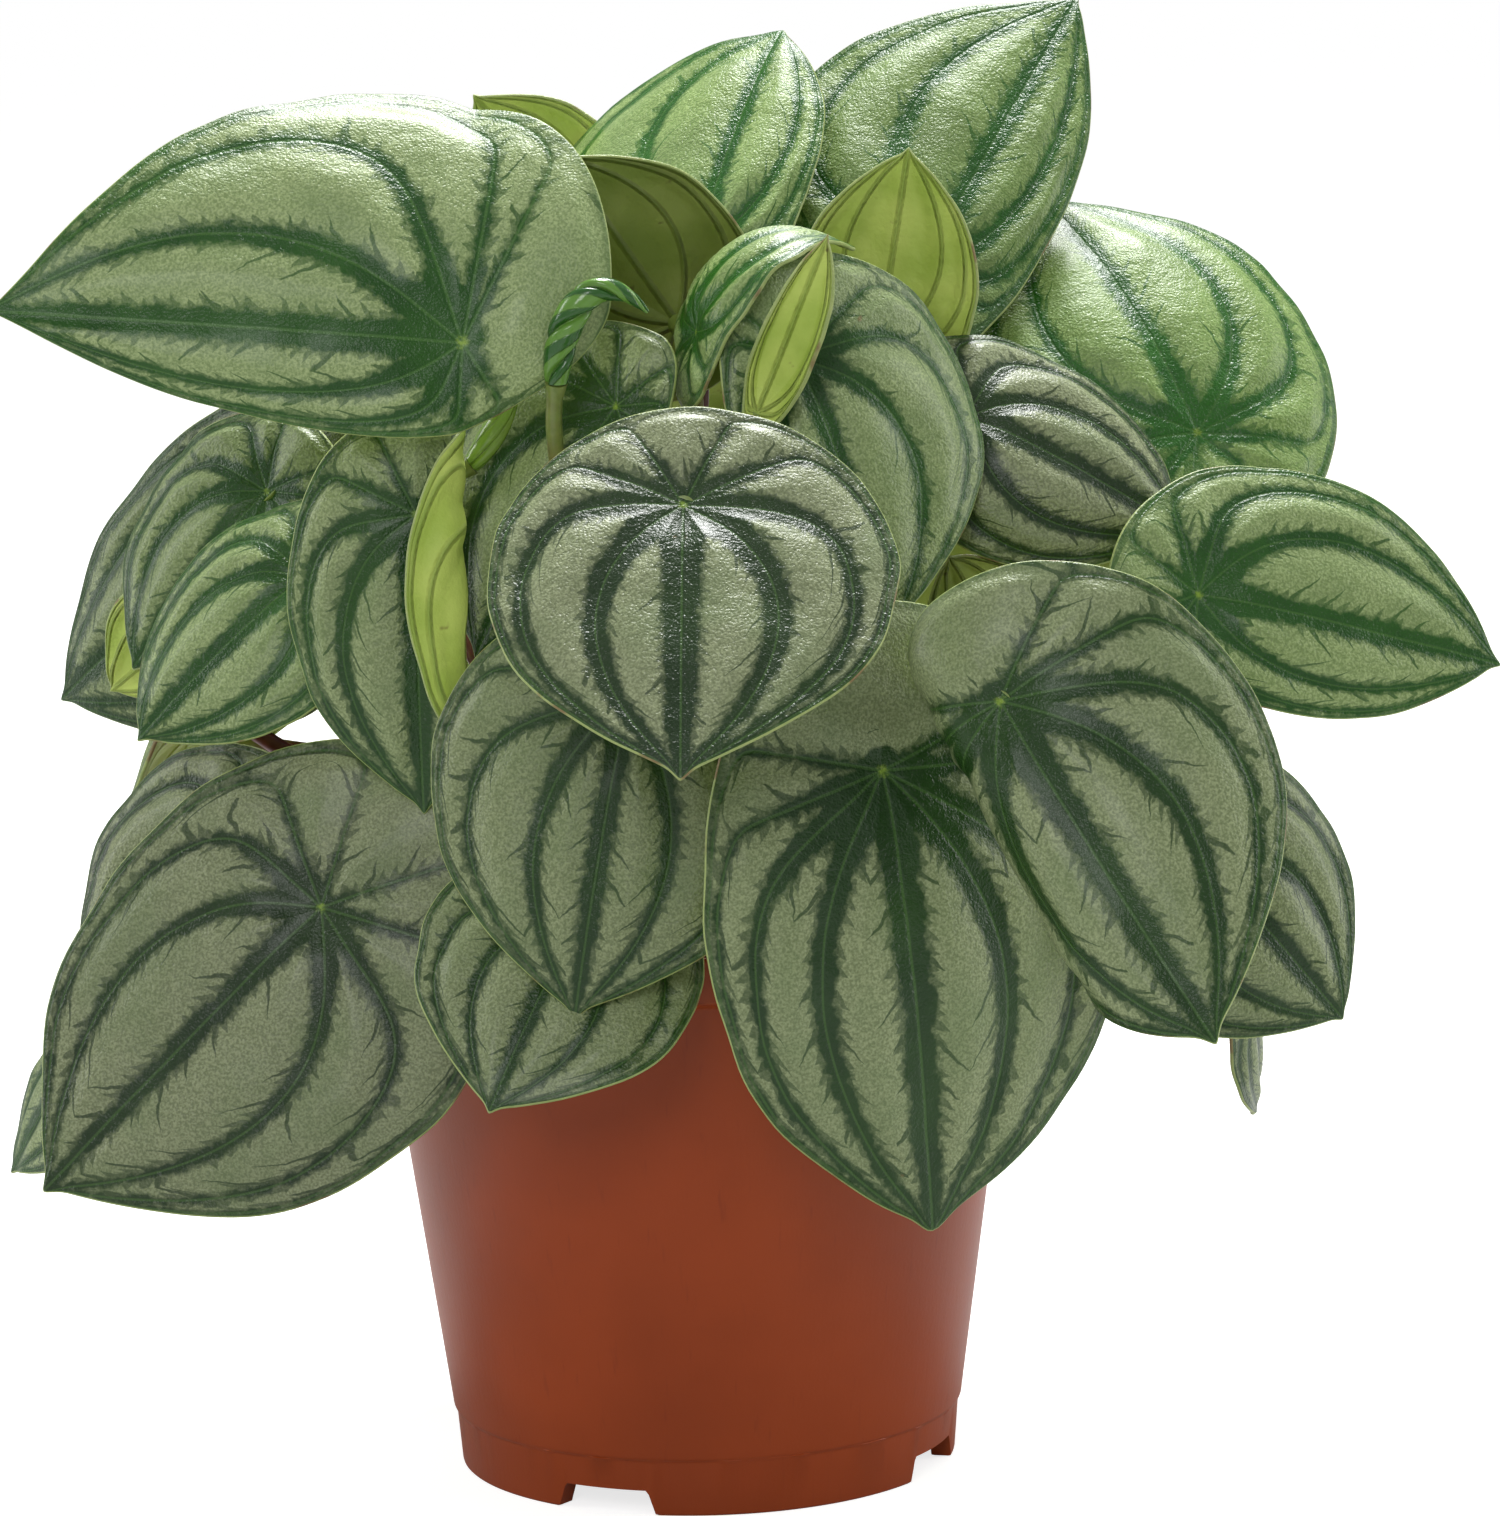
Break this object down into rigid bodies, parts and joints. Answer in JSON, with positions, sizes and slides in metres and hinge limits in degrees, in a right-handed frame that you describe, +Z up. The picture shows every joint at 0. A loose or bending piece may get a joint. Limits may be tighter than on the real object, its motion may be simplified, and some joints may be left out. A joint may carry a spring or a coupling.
{
  "type": "potted_plant",
  "caption": "Watermelon peperomia with striped silver-green shield-shaped leaves on dark red stalks in a terracotta-brown plastic nursery pot",
  "frame": {"origin": "centre of the flat pad under the pot, on the surface the pot stands on and on the pot's axis", "axes": "+Z up along the pot's axis; -Y towards the plant's fullest side; +X to the right of it"},
  "size_m": [0.2505, 0.2254, 0.245],
  "materials": {
    "pot": "satin moulded polypropylene",
    "soil": "loose dark potting mix",
    "stems": "smooth dark red stalks",
    "leaves": "satin, dark green stripes on silver green"
  },
  "bodies": {
    "root": {"pot": "pot", "soil": "soil", "stems_left": "stems", "stems_front": "stems", "stems_right": "stems", "stems_middle": "stems", "stems_back": "stems", "leaf_front_centre": "leaves", "leaf_front_low_centre": "leaves", "leaf_front_low_left": "leaves", "leaf_front_low_right": "leaves", "leaf_front_right": "leaves", "leaf_right_low": "leaves", "leaf_right_low_tip": "leaves", "leaf_left_low": "leaves", "leaf_left_low_behind": "leaves", "leaf_left_low_tip": "leaves", "leaf_left_centre": "leaves", "leaf_centre_behind": "leaves", "leaf_left_top": "leaves", "leaf_left_inner": "leaves", "leaf_left_glossy": "leaves", "leaf_left_far": "leaves", "leaf_left_sliver": "leaves", "leaf_top_left_back": "leaves", "leaf_top_centre": "leaves", "leaf_top_right": "leaves", "leaf_top_olive": "leaves", "leaf_top_arched": "leaves", "leaf_top_underside": "leaves", "leaf_right_centre": "leaves", "leaf_right_silver": "leaves", "leaf_right_pale": "leaves", "leaf_right_far": "leaves", "leaf_right_hidden": "leaves", "leaf_back_left": "leaves", "leaf_back_centre_left": "leaves", "leaf_back_centre_right": "leaves", "leaf_back_right": "leaves", "leaf_side_left": "leaves", "leaf_back_low_left": "leaves", "leaf_back_low_right": "leaves", "leaf_side_right": "leaves", "leaf_back_top": "leaves", "leaf_young_spiral": "leaves", "leaf_young_rolled": "leaves", "leaf_young_pale": "leaves"}
  },
  "joints": []
}
